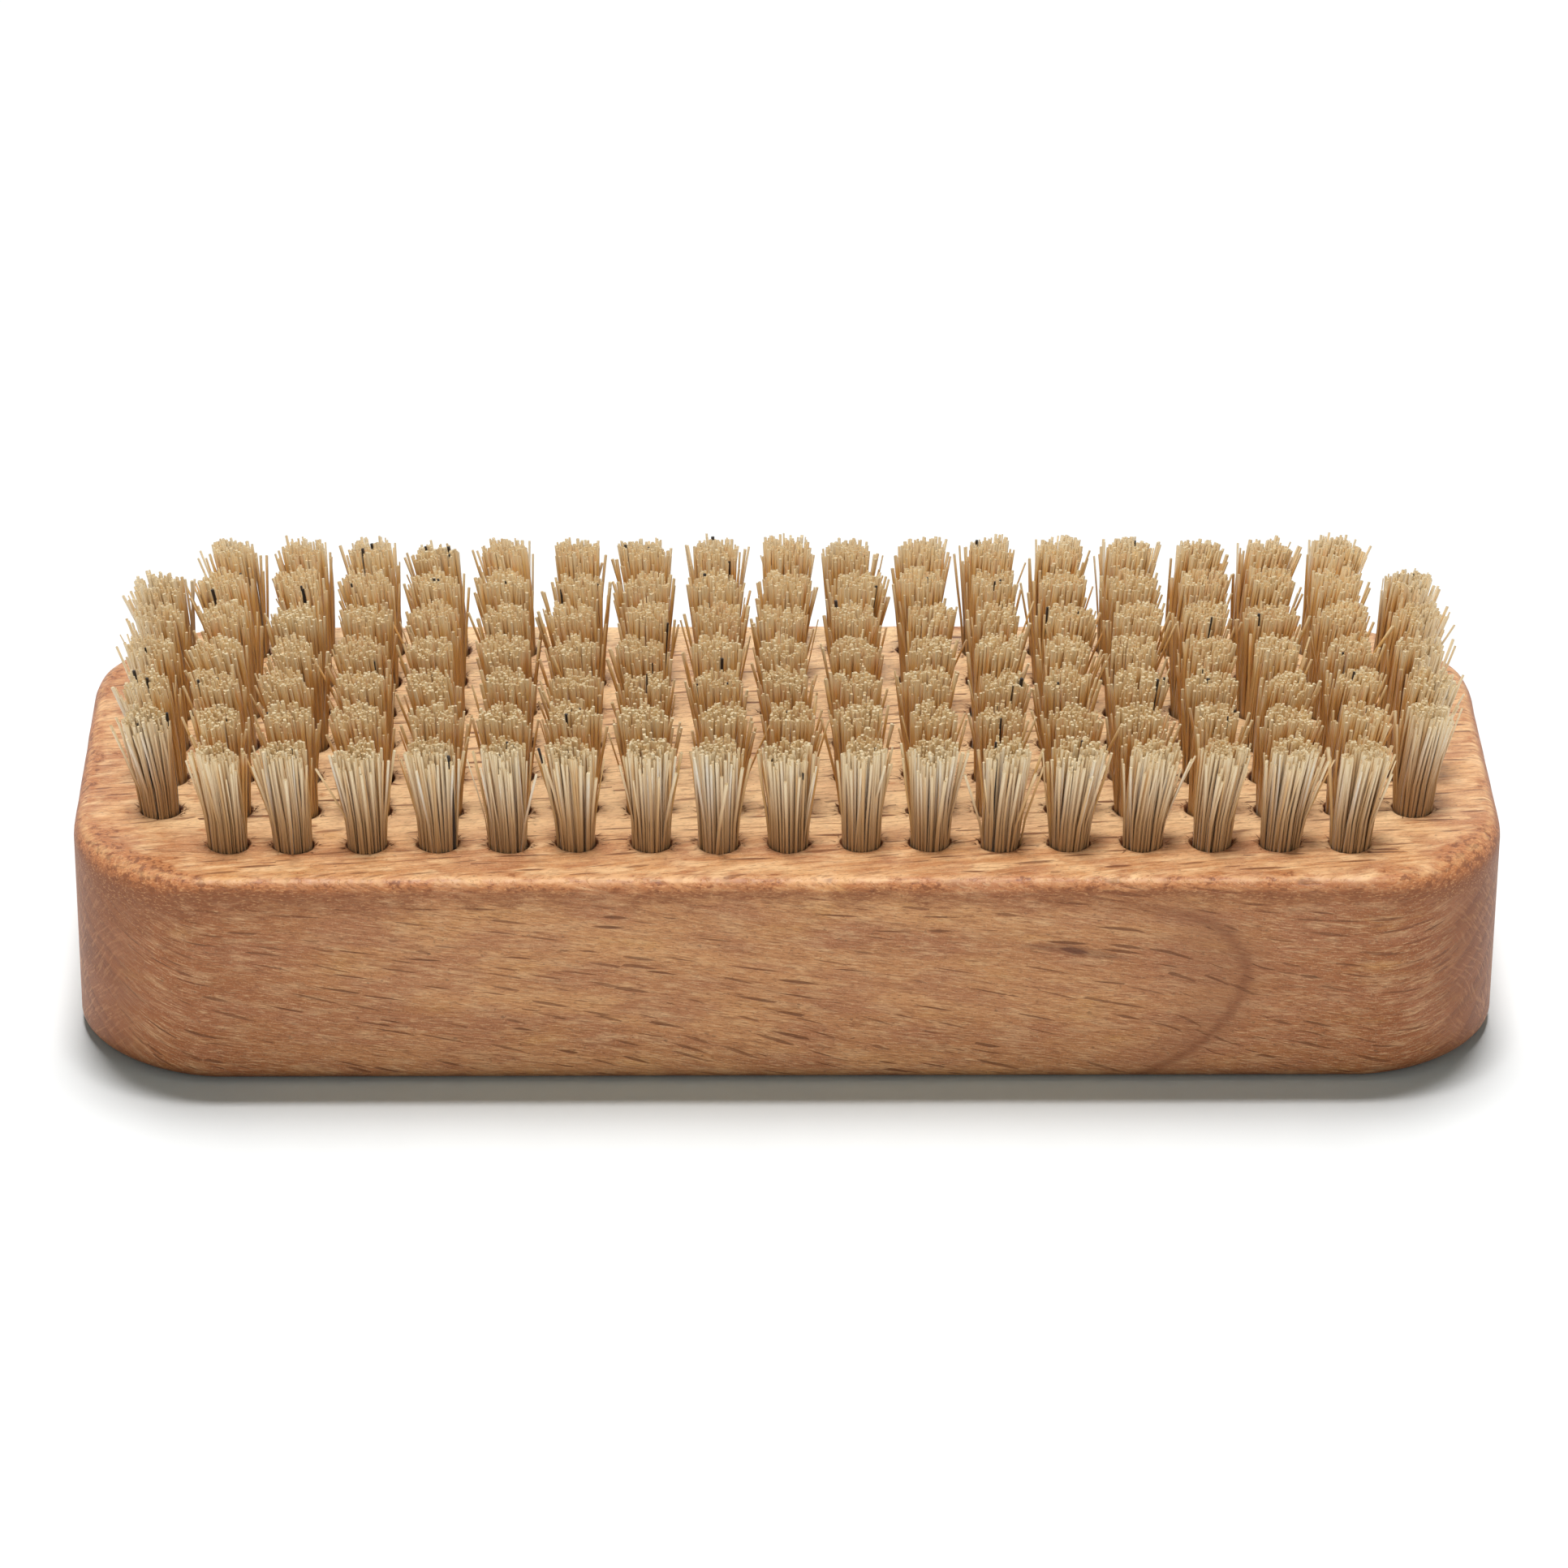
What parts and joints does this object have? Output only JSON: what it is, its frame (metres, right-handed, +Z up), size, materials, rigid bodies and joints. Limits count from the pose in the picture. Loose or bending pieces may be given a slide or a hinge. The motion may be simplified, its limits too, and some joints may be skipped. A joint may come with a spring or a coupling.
{
  "type": "hand brush",
  "caption": "Oblong wooden hand brush with rounded corners, drilled on one face and filled with short tufts of natural bristle.",
  "frame": {"origin": "middle of the block's flat back, which the brush lies on", "axes": "+X along the block's length, +Y across it towards its rear long side, +Z up out of the back through the bristles"},
  "size_m": [0.12, 0.048, 0.0284],
  "materials": {
    "beech": "satin",
    "bristle": "matte"
  },
  "bodies": {
    "root": {"beech_block": "beech", "tuft_column_01": "bristle", "tuft_column_02": "bristle", "tuft_column_03": "bristle", "tuft_column_04": "bristle", "tuft_column_05": "bristle", "tuft_column_06": "bristle", "tuft_column_07": "bristle", "tuft_column_08": "bristle", "tuft_column_09": "bristle", "tuft_column_10": "bristle", "tuft_column_11": "bristle", "tuft_column_12": "bristle", "tuft_column_13": "bristle", "tuft_column_14": "bristle", "tuft_column_15": "bristle", "tuft_column_16": "bristle", "tuft_column_17": "bristle", "tuft_column_18": "bristle", "tuft_column_19": "bristle"}
  },
  "joints": []
}
